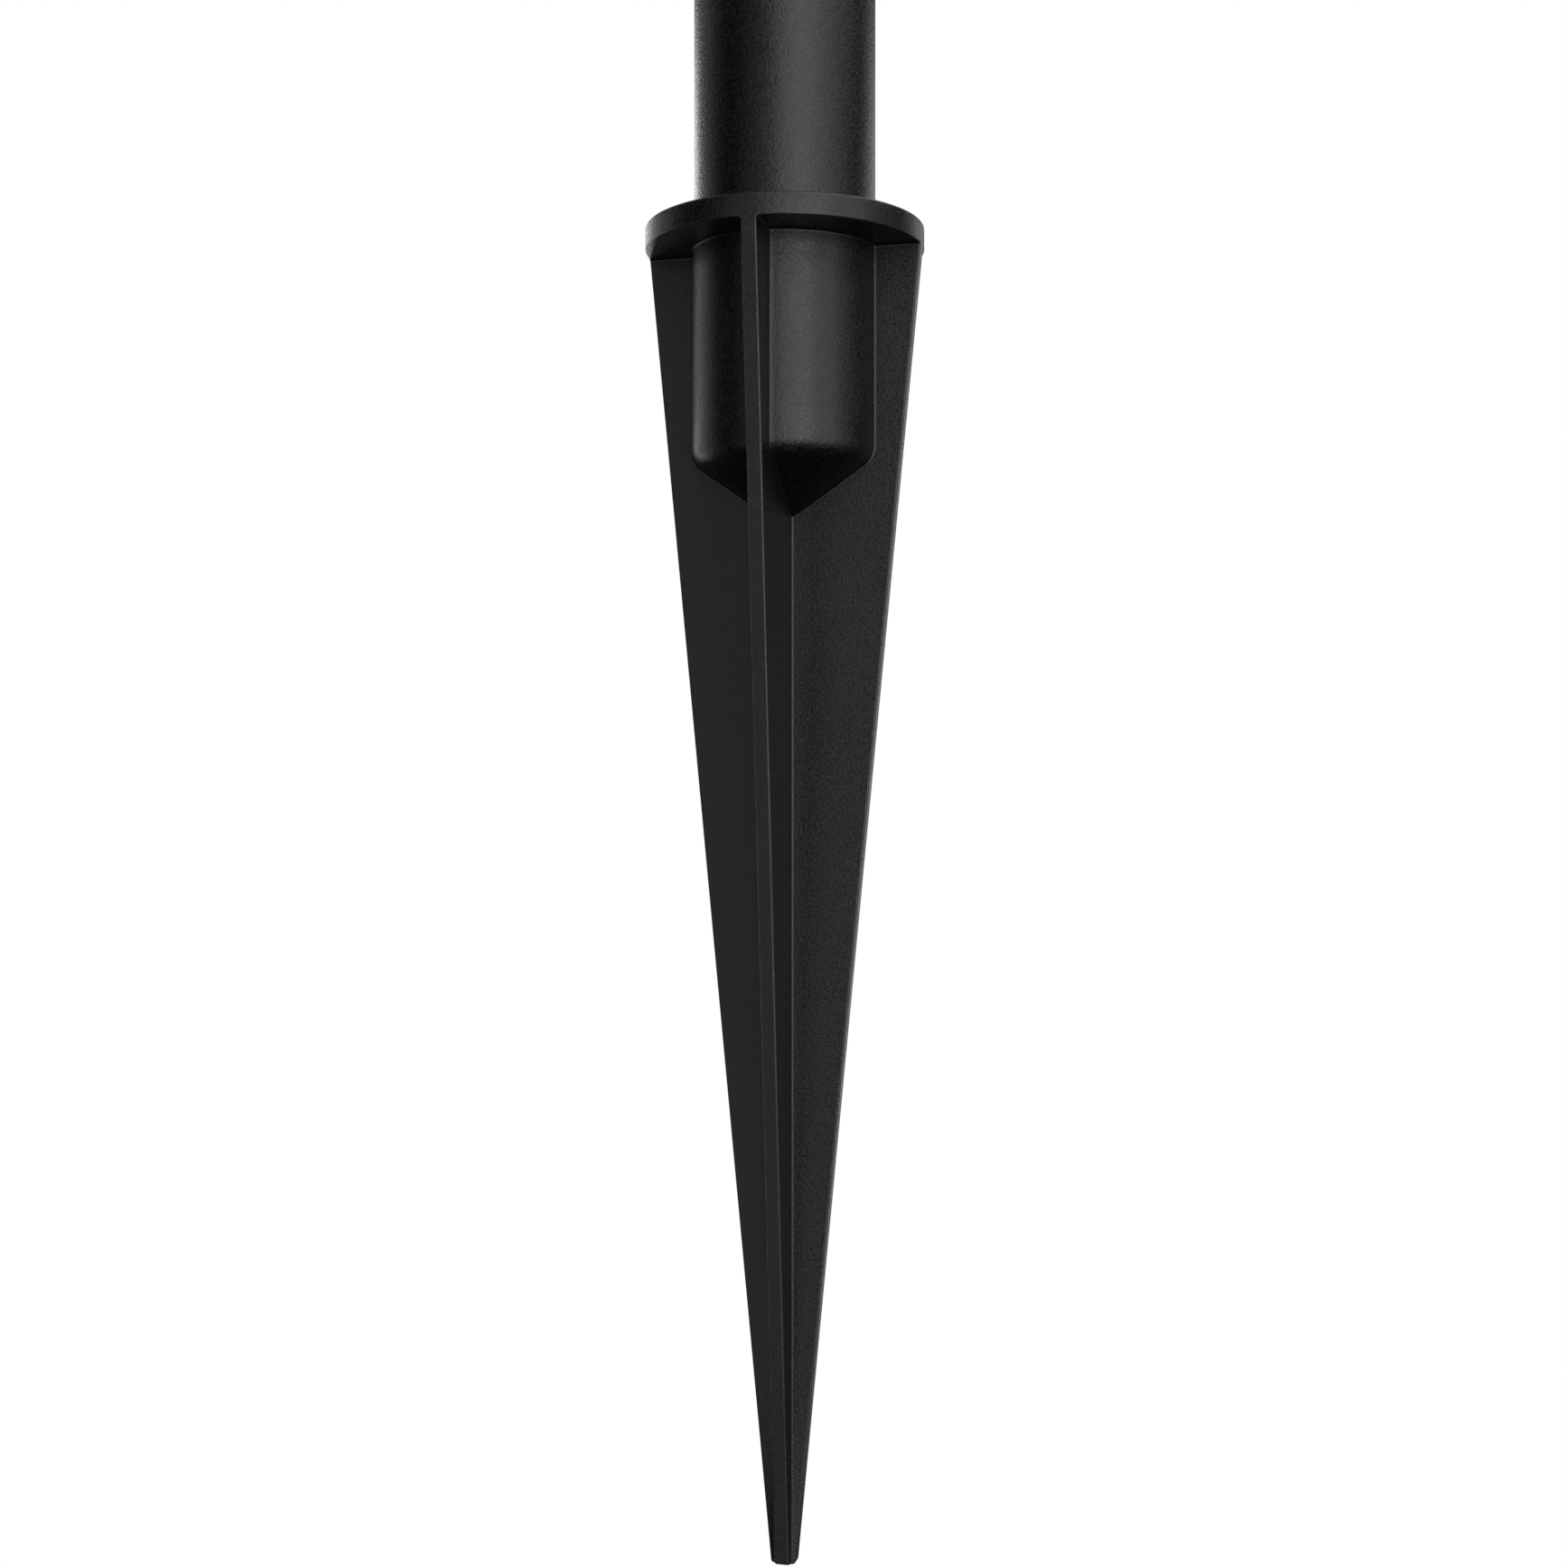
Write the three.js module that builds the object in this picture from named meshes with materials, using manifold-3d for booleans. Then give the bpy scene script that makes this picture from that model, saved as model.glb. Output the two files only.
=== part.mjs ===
// A garden post on its ground spike. The spike is one moulding: a flange that stops it at the turf, a cup with
// the post's socket, and four blades that taper to a blunt tip. The post's tube carries a spigot that plugs
// into the socket, so the post can turn and be lifted out.
// Millimetres, +Z up, origin at the middle of the tip. The blades lie along X and Y.
import * as THREE from "three";
import { mergeVertices } from "three/addons/utils/BufferGeometryUtils.js";
import Module from "manifold-3d";

const DEGREE = Math.PI / 180;
const RIGHT_ANGLE = Math.PI / 2;

// Driving dimensions.
const SPIKE_LENGTH = 282; // from the tip to the flange's underside
const FLANGE = { radius: 30, thickness: 4.8, topRound: 0.5, bottomRound: 0.3 };
const CUP = { radius: 20, depth: 45, cornerRadius: 5, coneAngle: 35.3 * DEGREE };
const SOCKET = { radius: 17, floor: 3, mouthChamfer: 0.8 };
const BLADE = { thickness: 3.5, tipRadius: 2.5, tipChamfer: 0.8, edgeRound: 0.4 };
const WASHER = { innerRadius: 17.2, outerRadius: 19.2, thickness: 1 };
const TUBE = { radius: 19.5, wall: 2, length: 100, endChamfer: 0.25, screwHoleRadius: 2.3 };
const SPIGOT = { hollowRadius: 12.5, floor: 3, chamfer: 1.5, fit: 0.3, sleeveHeight: 38, plugDepth: 46.5 };
const RING_GROOVE = { below: 12, width: 2.6, depth: 1.8 };
const RELIEF_GROOVES = [
  { below: 22, width: 6, depth: 1.6 },
  { below: 33, width: 6, depth: 1.6 },
];
const RING = { section: 0.95, squeeze: 0.15 };
const SCREW = { height: 20, shankRadius: 2, length: 6.5, headRadius: 3.8, headHeight: 2.2, crown: 0.9 };
const HEX_SOCKET = { acrossFlats: 2.5, depth: 1.3 };
const SCREW_ANGLES = { right: 45 * DEGREE, left: 135 * DEGREE }; // about Z from +X: both face the rear
const GAP = 0.2; // left between faces that rest on each other

// Places that follow from the dimensions.
const FLANGE_TOP = SPIKE_LENGTH + FLANGE.thickness;
const WASHER_FOOT = FLANGE_TOP + GAP;
const POST_FOOT = WASHER_FOOT + WASHER.thickness + GAP;
const TUBE_BORE = TUBE.radius - TUBE.wall;
const SLEEVE_RADIUS = TUBE_BORE - SPIGOT.fit;
const PLUG_RADIUS = SOCKET.radius - SPIGOT.fit;

const ROUND_SEGMENTS = 72;
const SMALL_SEGMENTS = 24;

const MOULDED_PLASTIC = { color: 0x1b1b1c, roughness: 0.62, metalness: 0 };
const COATED_METAL = { color: 0x1a1a1b, roughness: 0.5, metalness: 0.1 };
const RUBBER = { color: 0x141414, roughness: 0.85, metalness: 0 };
const SCREW_STEEL = { color: 0x9a9a98, roughness: 0.35, metalness: 1 };

const manifold = await Module();
manifold.setup();

// The manifold solid that a closed geometry bounds.
function solidOf(geometry) {
  const bare = geometry.clone();
  bare.deleteAttribute("normal");
  bare.deleteAttribute("uv");
  const merged = mergeVertices(bare, 1e-4);
  const mesh = new manifold.Mesh({
    numProp: 3,
    vertProperties: merged.attributes.position.array,
    triVerts: new Uint32Array(merged.index.array),
  });
  return new manifold.Manifold(mesh);
}

// A flat-shaded geometry with a manifold solid's faces.
function geometryOf(solid) {
  const { vertProperties, triVerts } = solid.getMesh();
  const geometry = new THREE.BufferGeometry()
    .setAttribute("position", new THREE.BufferAttribute(vertProperties, 3))
    .setIndex(new THREE.BufferAttribute(triVerts, 1))
    .toNonIndexed();
  geometry.computeVertexNormals();
  return geometry;
}

// A half-profile of [radius, height] points turned about Z. It runs upwards on its outer side.
function turned(profile, segments = ROUND_SEGMENTS) {
  const points = profile.map(([radius, height]) => new THREE.Vector2(radius, height));
  return new THREE.LatheGeometry(points, segments).rotateX(RIGHT_ANGLE);
}

// Points of an arc in a half-profile, from one angle to another about [radius, height].
function arc([radius, height], arcRadius, from, to, steps) {
  return Array.from({ length: steps + 1 }, (_, i) => {
    const angle = from + ((to - from) * i) / steps;
    return [radius + arcRadius * Math.cos(angle), height + arcRadius * Math.sin(angle)];
  });
}

function named(name, geometry, finish) {
  const mesh = new THREE.Mesh(geometry, new THREE.MeshStandardMaterial(finish));
  mesh.name = name;
  return mesh;
}

// The cup's outline, from the cone's apex up its rounded corner and wall to the flange's underside.
function cupOutline() {
  const slope = Math.tan(CUP.coneAngle);
  const corner = SPIKE_LENGTH - CUP.depth; // where the wall and the cone would meet in a sharp edge
  const tangent = CUP.cornerRadius * Math.tan((RIGHT_ANGLE - CUP.coneAngle) / 2);
  const centre = [CUP.radius - CUP.cornerRadius, corner + tangent];
  return [
    [0, corner - CUP.radius * slope],
    ...arc(centre, CUP.cornerRadius, CUP.coneAngle - RIGHT_ANGLE, 0, 5),
    [CUP.radius, SPIKE_LENGTH],
  ];
}

function flangeOutline() {
  const low = [FLANGE.radius - FLANGE.bottomRound, SPIKE_LENGTH + FLANGE.bottomRound];
  const high = [FLANGE.radius - FLANGE.topRound, FLANGE_TOP - FLANGE.topRound];
  return [
    ...arc(low, FLANGE.bottomRound, -RIGHT_ANGLE, 0, 2),
    ...arc(high, FLANGE.topRound, 0, RIGHT_ANGLE, 3),
    [0, FLANGE_TOP],
  ];
}

// The blind socket: a round bore with a cone that keeps the floor's thickness over the cup's cone.
function socketCutter() {
  const slope = Math.tan(CUP.coneAngle);
  const apex = SPIKE_LENGTH - CUP.depth - CUP.radius * slope + SOCKET.floor / Math.cos(CUP.coneAngle);
  const mouth = SOCKET.radius + SOCKET.mouthChamfer;
  return turned([
    [0, apex],
    [SOCKET.radius, apex + SOCKET.radius * slope],
    [SOCKET.radius, FLANGE_TOP - SOCKET.mouthChamfer],
    [mouth, FLANGE_TOP],
    [mouth, FLANGE_TOP + 1],
    [0, FLANGE_TOP + 1],
  ]);
}

// Two opposite blades as one tapering plate in the XZ plane, with rounded edges.
function bladePair() {
  const { thickness, tipRadius, tipChamfer, edgeRound } = BLADE;
  const topRadius = FLANGE.radius - 0.05; // just under the rim, so that no sliver stands out of it
  const aboveChamfer = tipRadius + ((topRadius - tipRadius) * tipChamfer) / SPIKE_LENGTH;
  const right = [
    [tipRadius - tipChamfer, 0],
    [aboveChamfer, tipChamfer],
    [topRadius, SPIKE_LENGTH],
    [topRadius, SPIKE_LENGTH + FLANGE.thickness / 2],
  ];
  const left = right.map(([x, z]) => [-x, z]).reverse();
  const outline = new THREE.Shape([...right, ...left].map(([x, z]) => new THREE.Vector2(x, z)));
  const depth = thickness - 2 * edgeRound;
  return new THREE.ExtrudeGeometry(outline, {
    depth,
    bevelThickness: edgeRound,
    bevelSize: edgeRound,
    bevelOffset: -edgeRound,
    bevelSegments: 2,
  })
    .translate(0, 0, -depth / 2)
    .rotateX(RIGHT_ANGLE);
}

function groundSpike() {
  const head = solidOf(turned([...cupOutline(), ...flangeOutline()]));
  const blades = solidOf(bladePair()).add(solidOf(bladePair().rotateZ(RIGHT_ANGLE)));
  const solid = head.add(blades).subtract(solidOf(socketCutter()));
  return named("ground_spike", geometryOf(solid), MOULDED_PLASTIC);
}

// A closed rectangular profile of a ring, from its inner foot round its outside.
function ringOutline(innerRadius, outerRadius, height, chamfer) {
  return [
    [innerRadius + chamfer, 0],
    [outerRadius - chamfer, 0],
    [outerRadius, chamfer],
    [outerRadius, height - chamfer],
    [outerRadius - chamfer, height],
    [innerRadius + chamfer, height],
    [innerRadius, height - chamfer],
    [innerRadius, chamfer],
    [innerRadius + chamfer, 0],
  ];
}

function seatWasher() {
  const { innerRadius, outerRadius, thickness } = WASHER;
  const ring = turned(ringOutline(innerRadius, outerRadius, thickness, 0.15));
  const washer = named("seat_washer", geometryOf(solidOf(ring)), RUBBER);
  washer.position.z = WASHER_FOOT;
  return washer;
}

// Round cutters for the retaining screws, through one side of the tube each.
function screwHoles(radius) {
  const reach = TUBE.radius + 2;
  const holes = Object.values(SCREW_ANGLES).map((angle) =>
    solidOf(
      new THREE.CylinderGeometry(radius, radius, reach, SMALL_SEGMENTS)
        .rotateZ(-RIGHT_ANGLE)
        .translate(reach / 2, 0, SCREW.height)
        .rotateZ(angle),
    ),
  );
  return holes.reduce((all, hole) => all.add(hole));
}

function postTube() {
  const tube = solidOf(turned(ringOutline(TUBE_BORE, TUBE.radius, TUBE.length, TUBE.endChamfer)));
  return named("post_tube", geometryOf(tube.subtract(screwHoles(TUBE.screwHoleRadius))), COATED_METAL);
}

// The step in and out of a groove that lies `below` the tube's foot, on its way up the plug.
function grooveSteps({ below, width, depth }) {
  return [
    [PLUG_RADIUS, -below - width / 2],
    [PLUG_RADIUS - depth, -below - width / 2],
    [PLUG_RADIUS - depth, -below + width / 2],
    [PLUG_RADIUS, -below + width / 2],
  ];
}

// The plug that fits the tube above and the socket below, hollow from its top.
function spigot() {
  const { hollowRadius, floor, chamfer, sleeveHeight, plugDepth } = SPIGOT;
  const grooves = [RING_GROOVE, ...RELIEF_GROOVES].sort((a, b) => b.below - a.below);
  const body = turned([
    [0, -plugDepth],
    [PLUG_RADIUS - chamfer, -plugDepth],
    [PLUG_RADIUS, chamfer - plugDepth],
    ...grooves.flatMap(grooveSteps),
    [PLUG_RADIUS, GAP],
    [SLEEVE_RADIUS, GAP],
    [SLEEVE_RADIUS, sleeveHeight - chamfer / 2],
    [SLEEVE_RADIUS - chamfer / 2, sleeveHeight],
    [hollowRadius, sleeveHeight],
    [hollowRadius, floor - plugDepth],
    [0, floor - plugDepth],
  ]);
  const solid = solidOf(body).subtract(screwHoles(SCREW.shankRadius + SPIGOT.fit));
  return named("spigot", geometryOf(solid), MOULDED_PLASTIC);
}

function socketRing() {
  const middle = PLUG_RADIUS - RING_GROOVE.depth + RING.section + RING.squeeze / 3;
  const torus = new THREE.TorusGeometry(middle, RING.section, 10, ROUND_SEGMENTS);
  const ring = named("socket_o_ring", geometryOf(solidOf(torus)), RUBBER);
  ring.position.z = -RING_GROOVE.below;
  return ring;
}

// A button-head screw standing on its shank's end, with a hexagonal socket in its domed head.
function buttonScrew(name) {
  const { shankRadius, length, headRadius, headHeight, crown } = SCREW;
  const top = length + headHeight;
  const body = turned(
    [
      [0, 0],
      [shankRadius - 0.4, 0],
      [shankRadius, 0.4],
      [shankRadius, length],
      [headRadius, length],
      [headRadius, length + headHeight - 2 * crown],
      [headRadius - crown / 3, top - crown],
      [headRadius - crown, top - crown / 3],
      [headRadius - 2 * crown, top],
      [0, top],
    ],
    SMALL_SEGMENTS,
  );
  const hexRadius = HEX_SOCKET.acrossFlats / Math.sqrt(3);
  const hexagon = new THREE.CylinderGeometry(hexRadius, hexRadius, 2 * HEX_SOCKET.depth, 6)
    .rotateX(RIGHT_ANGLE)
    .translate(0, 0, top);
  return named(name, geometryOf(solidOf(body).subtract(solidOf(hexagon))), SCREW_STEEL);
}

// The two retaining screws, each in an arm that turns it to its place around the tube.
function retainingScrews() {
  return Object.entries(SCREW_ANGLES).map(([side, angle]) => {
    const screw = buttonScrew(`retaining_screw_${side}`);
    screw.rotation.y = RIGHT_ANGLE;
    screw.position.set(TUBE.radius + GAP - SCREW.length, 0, SCREW.height);
    const arm = new THREE.Group();
    arm.rotation.z = angle;
    arm.add(screw);
    return arm;
  });
}

const post = new THREE.Group();
post.position.z = POST_FOOT;
post.add(postTube(), spigot(), socketRing(), ...retainingScrews());

const groundSpikeAndPost = new THREE.Group();
groundSpikeAndPost.add(groundSpike(), seatWasher(), post);

export default groundSpikeAndPost;
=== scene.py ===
"""Looks for a garden post on its moulded ground spike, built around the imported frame.

Everything is in metres in the frame's own axes: +Z runs up the spike and the post, the four blades lie along
X and Y, and -Y is the front.
"""

import logging
import math
from collections.abc import Callable, Sequence
from dataclasses import dataclass, replace
from enum import Enum
from typing import ClassVar

import bmesh
import bpy
from mathutils import Matrix, Vector


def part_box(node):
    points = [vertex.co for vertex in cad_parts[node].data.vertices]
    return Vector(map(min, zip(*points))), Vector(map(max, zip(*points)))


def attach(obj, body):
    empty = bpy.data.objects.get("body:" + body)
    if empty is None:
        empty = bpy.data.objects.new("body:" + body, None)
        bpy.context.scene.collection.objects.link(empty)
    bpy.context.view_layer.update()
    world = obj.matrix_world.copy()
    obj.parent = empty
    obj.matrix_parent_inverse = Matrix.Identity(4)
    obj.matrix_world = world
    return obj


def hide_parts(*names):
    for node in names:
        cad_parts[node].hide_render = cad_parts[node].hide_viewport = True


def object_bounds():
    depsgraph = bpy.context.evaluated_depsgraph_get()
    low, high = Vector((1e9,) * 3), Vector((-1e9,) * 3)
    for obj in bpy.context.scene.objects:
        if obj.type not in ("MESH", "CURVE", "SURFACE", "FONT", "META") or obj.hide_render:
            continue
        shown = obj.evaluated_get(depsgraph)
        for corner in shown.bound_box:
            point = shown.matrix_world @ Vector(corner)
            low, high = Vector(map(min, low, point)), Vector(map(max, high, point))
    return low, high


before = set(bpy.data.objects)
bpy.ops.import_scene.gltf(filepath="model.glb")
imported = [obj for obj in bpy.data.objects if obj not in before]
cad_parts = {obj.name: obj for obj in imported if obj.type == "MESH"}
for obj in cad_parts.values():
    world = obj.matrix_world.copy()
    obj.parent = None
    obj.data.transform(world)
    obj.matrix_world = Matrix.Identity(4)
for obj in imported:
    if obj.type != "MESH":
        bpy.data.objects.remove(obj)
CAD_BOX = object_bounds()

MM = 0.001
RIGHT_ANGLE = math.pi / 2
DIAGONAL = math.pi / 4
WELD = 0.002 * MM
REST_GAP = 0.2 * MM
# Name of the per-vertex value for outward edges, which the black finishes lighten partly as wear and partly
# as a painted edge highlight.
EDGE_WEAR_AND_HIGHLIGHT = "edge_wear_and_highlight"
WHITE = (1.0, 1.0, 1.0, 1.0)
log = logging.getLogger("ground_spike")

Socket = bpy.types.NodeSocket
Material = bpy.types.Material
Object = bpy.types.Object
Point = tuple[float, float]
Span = tuple[float, float]
Stop = tuple[float, float, float]
Colour = tuple[float, float, float, float]
Relief = Callable[[float, float, float], float]


class Body(Enum):
    """The bodies that pieces ride on."""

    SPIKE = "spike"
    SEAT = "seat"
    POST = "post"


class Slot(Enum):
    """The record's material slots."""

    SPIKE_PLASTIC = "spike_plastic"
    TUBE_COAT = "tube_coat"
    SPIGOT_PLASTIC = "spigot_plastic"
    RUBBER = "rubber"
    SCREW_STEEL = "screw_steel"


# --- node trees


class NodeCanvas:
    """A node tree under construction, with short calls for adding and joining nodes."""

    COLOUR_MIX_INPUTS: ClassVar[tuple[int, int, int]] = (0, 6, 7)
    COLOUR_MIX_RESULT: ClassVar[int] = 2

    def __init__(self, tree: bpy.types.NodeTree) -> None:
        """Starts from an empty tree.

        Args:
            tree: the tree to fill; what it holds is cleared.
        """
        self.tree = tree
        tree.nodes.clear()

    def feed(self, value: object, socket: Socket) -> None:
        """Gives an input its value, or the output that feeds it.

        Args:
            value: the value or the output.
            socket: the input.
        """
        if isinstance(value, Socket):
            self.tree.links.new(value, socket)
        else:
            socket.default_value = value

    def add(self, kind: str, **inputs: object) -> bpy.types.Node:
        """Adds a node, and sets or feeds its inputs.

        Args:
            kind: the node type's identifier.
            **inputs: a socket's name with spaces as underscores, or one of the node's own settings, to its
                value or to the output that feeds it.

        Returns:
            The new node.
        """
        node = self.tree.nodes.new(kind)
        for name, value in inputs.items():
            socket = node.inputs.get(name.replace("_", " "))
            if socket is None:
                setattr(node, name, value)
            else:
                self.feed(value, socket)
        return node

    def compute(self, operation: str, *values: object) -> Socket:
        """Adds a Math node.

        Args:
            operation: what it works out.
            *values: numbers, or the outputs that feed it.

        Returns:
            Its result.
        """
        node = self.add("ShaderNodeMath", operation=operation)
        for value, socket in zip(values, node.inputs):
            self.feed(value, socket)
        return node.outputs["Value"]

    def noise(self, place: Socket, scale: float, detail: float, roughness: float = 0.5) -> Socket:
        """Adds a noise pattern and returns its value."""
        node = self.add("ShaderNodeTexNoise", Vector=place, Scale=scale, Detail=detail, Roughness=roughness)
        return node.outputs["Fac"]

    def remap(self, value: Socket, into: Span, span: Span = (0.0, 1.0)) -> Socket:
        """Adds a Map Range node.

        Args:
            value: the output to bring from one span into another.
            into: the span to bring it into.
            span: the span it comes from.

        Returns:
            The value in its new span.
        """
        node = self.add("ShaderNodeMapRange", Value=value, From_Min=span[0], From_Max=span[1],
                        To_Min=into[0], To_Max=into[1])
        return node.outputs["Result"]

    def ramp(self, value: Socket, ends: tuple[Colour, Colour], span: Span = (0.0, 1.0)) -> Socket:
        """Adds a ramp from one colour to another.

        Args:
            value: the output that picks the colour.
            ends: the two colours.
            span: the values where they stand.

        Returns:
            The colour.
        """
        node = self.add("ShaderNodeValToRGB", Fac=value)
        for element, position, colour in zip(node.color_ramp.elements, span, ends):
            element.position = position
            element.color = colour
        return node.outputs["Color"]

    def blend(self, *values: object) -> Socket:
        """Adds a colour Mix node.

        Args:
            *values: the share of the second colour, and the two colours.

        Returns:
            The mixed colour.
        """
        node = self.add("ShaderNodeMix", data_type="RGBA", blend_type="MIX")
        for value, number in zip(values, self.COLOUR_MIX_INPUTS):
            self.feed(value, node.inputs[number])
        return node.outputs[self.COLOUR_MIX_RESULT]

    def choose(self, *values: object) -> Socket:
        """Adds a Mix Shader node.

        Args:
            *values: the share of the second shader, and the two shaders.

        Returns:
            The mixed shader.
        """
        node = self.add("ShaderNodeMixShader")
        for value, socket in zip(values, node.inputs):
            self.feed(value, socket)
        return node.outputs["Shader"]


# --- finishes


def grey(level: float, blue: float = 1.0) -> Colour:
    """A grey whose blue is scaled a little up or down."""
    return level, level, level * blue, 1.0


@dataclass(frozen=True)
class Grain:
    """The fine texture of a surface.

    Attributes:
        size: distance between neighbouring grains.
        depth: height of the bump.
        strength: how strongly the bump turns the surface, from 0 to 1.
    """

    size: float
    depth: float
    strength: float


class Finish:
    """A finish whose patterns lie on the object's own coordinates."""

    name: str
    METALLIC: ClassVar[float] = 0.0
    IOR: ClassVar[float] = 1.5

    def patterns(self, canvas: NodeCanvas, place: Socket) -> tuple[Socket, ...]:
        """Lays out the finish's patterns.

        Args:
            canvas: the material's tree.
            place: the object's own coordinates.

        Returns:
            The colour, the roughness and the normal.
        """
        raise NotImplementedError

    def material(self) -> Material:
        """Builds the material.

        Returns:
            A principled material with the finish's patterns.
        """
        made = bpy.data.materials.new(self.name)
        made.use_nodes = True
        canvas = NodeCanvas(made.node_tree)
        place = canvas.add("ShaderNodeTexCoord").outputs["Object"]
        colour, roughness, normal = self.patterns(canvas, place)
        shader = canvas.add("ShaderNodeBsdfPrincipled", Base_Color=colour, Roughness=roughness, Normal=normal,
                            Metallic=self.METALLIC, IOR=self.IOR)
        canvas.add("ShaderNodeOutputMaterial", Surface=shader.outputs["BSDF"])
        return made

    @staticmethod
    def raised(canvas: NodeCanvas, height: Socket, grain: Grain) -> Socket:
        """Adds a bump and returns its normal."""
        node = canvas.add("ShaderNodeBump", Height=height, Strength=grain.strength, Distance=grain.depth)
        return node.outputs["Normal"]


@dataclass(frozen=True)
class BlackFinish(Finish):
    """A black, non-metallic finish: moulded plastic, powder coat or rubber.

    Attributes:
        name: the material's name.
        dark: base colour between the grains.
        light: base colour on the grains.
        roughness: lowest and highest roughness.
        grain: the fine texture.
        wear_and_highlight_tone: the tone that outward edges lighten towards, partly as wear and partly as a
            painted edge highlight.
    """

    name: str
    dark: float
    light: float
    roughness: Span
    grain: Grain
    wear_and_highlight_tone: float = 0.03

    BLUE: ClassVar[float] = 1.03
    COLOUR_SPAN: ClassVar[Span] = (0.42, 0.66)
    ROUGHNESS_SPAN: ClassVar[Span] = (0.35, 0.65)
    ROUGH_NOISE: ClassVar[float] = 0.6
    PATCH_GRAINS: ClassVar[float] = 40.0
    PATCH_SHARE: ClassVar[float] = 0.15

    def patterns(self, canvas: NodeCanvas, place: Socket) -> tuple[Socket, ...]:
        """Lays out speckled colour, uneven roughness, fine grain, and outward edges lightened partly as wear
        and partly as a painted edge highlight.

        Args:
            canvas: the material's tree.
            place: the object's own coordinates.

        Returns:
            The colour, the roughness and the normal.
        """
        patch_size = self.PATCH_GRAINS * self.grain.size
        fine = canvas.noise(place, 1 / self.grain.size, detail=3.0, roughness=self.ROUGH_NOISE)
        patch = canvas.noise(place, 1 / patch_size, detail=2.0, roughness=self.ROUGH_NOISE)
        tones = (grey(self.dark, self.BLUE), grey(self.light, self.BLUE))
        speckle = canvas.ramp(fine, tones, self.COLOUR_SPAN)
        # Outward edges, in patches, lighten towards the edge tone: partly wear, partly a painted edge
        # highlight.
        edge = canvas.add("ShaderNodeAttribute", attribute_name=EDGE_WEAR_AND_HIGHLIGHT).outputs["Fac"]
        colour = canvas.blend(canvas.compute("MULTIPLY", edge, patch), speckle, grey(self.wear_and_highlight_tone))
        uneven = canvas.compute("MULTIPLY_ADD", patch, self.PATCH_SHARE, fine)
        low, high = self.ROUGHNESS_SPAN
        span = (low + self.PATCH_SHARE / 2, high + self.PATCH_SHARE / 2)
        return colour, canvas.remap(uneven, self.roughness, span), self.raised(canvas, fine, self.grain)


@dataclass(frozen=True)
class SteelFinish(Finish):
    """Plain stainless steel with fine turning marks.

    Attributes:
        name: the material's name.
        dark: base colour in the marks.
        light: base colour between the marks.
        roughness: lowest and highest roughness.
        marks: the marks' texture.
    """

    name: str = "stainless_steel"
    dark: Colour = grey(0.416, 0.9875)
    light: Colour = grey(0.52, 0.98)
    roughness: Span = (0.24, 0.4)
    marks: Grain = Grain(size=MM / 1.8, depth=0.02 * MM, strength=0.15)

    METALLIC: ClassVar[float] = 1.0

    def patterns(self, canvas: NodeCanvas, place: Socket) -> tuple[Socket, ...]:
        """Lays out smeared roughness and fine scratches.

        Args:
            canvas: the material's tree.
            place: the object's own coordinates.

        Returns:
            The colour, the roughness and the normal.
        """
        marks = canvas.noise(place, 1 / self.marks.size, detail=4.0)
        colour = canvas.ramp(marks, (self.dark, self.light))
        return colour, canvas.remap(marks, self.roughness), self.raised(canvas, marks, self.marks)


MOULDED_PLASTIC = BlackFinish("moulded_plastic", dark=0.001, light=0.005, roughness=(0.28, 0.48),
                              grain=Grain(size=0.6 * MM, depth=0.085 * MM, strength=1.0))
POWDER_COAT = BlackFinish("powder_coat", dark=0.001, light=0.005, roughness=(0.22, 0.37),
                          grain=Grain(size=0.6 * MM, depth=0.14 * MM, strength=1.0))
SPIGOT_BLACK = BlackFinish("spigot_black", dark=0.016, light=0.02, roughness=(0.4, 0.5),
                           grain=Grain(size=0.5 * MM, depth=0.01 * MM, strength=0.3))
DULL_RUBBER = BlackFinish("dull_rubber", dark=0.01, light=0.014, roughness=(0.7, 0.85),
                          grain=Grain(size=0.4 * MM, depth=0.02 * MM, strength=0.4))
WASHER_RUBBER = replace(DULL_RUBBER, name="washer_rubber")


# --- meshes


def mix(a: float, b: float, share: float) -> float:
    """The value a share of the way from a to b."""
    return a + (b - a) * share


def steps(count: int) -> list[float]:
    """Shares from 0 to 1 in equal steps, both ends included."""
    return [i / count for i in range(count + 1)]


def polar(radius: float, angle: float, centre: Point = (0.0, 0.0)) -> Point:
    """The point at a radius and an angle from a centre."""
    return centre[0] + radius * math.cos(angle), centre[1] + radius * math.sin(angle)


def arc_points(centre: Point, radius: float, start: float, end: float, count: int) -> list[Point]:
    """Points along an arc.

    Args:
        centre: the arc's centre.
        radius: its radius.
        start: the first point's angle.
        end: the last point's angle.
        count: number of steps.

    Returns:
        The points, both ends included.
    """
    return [polar(radius, mix(start, end, share), centre) for share in steps(count)]


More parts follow.
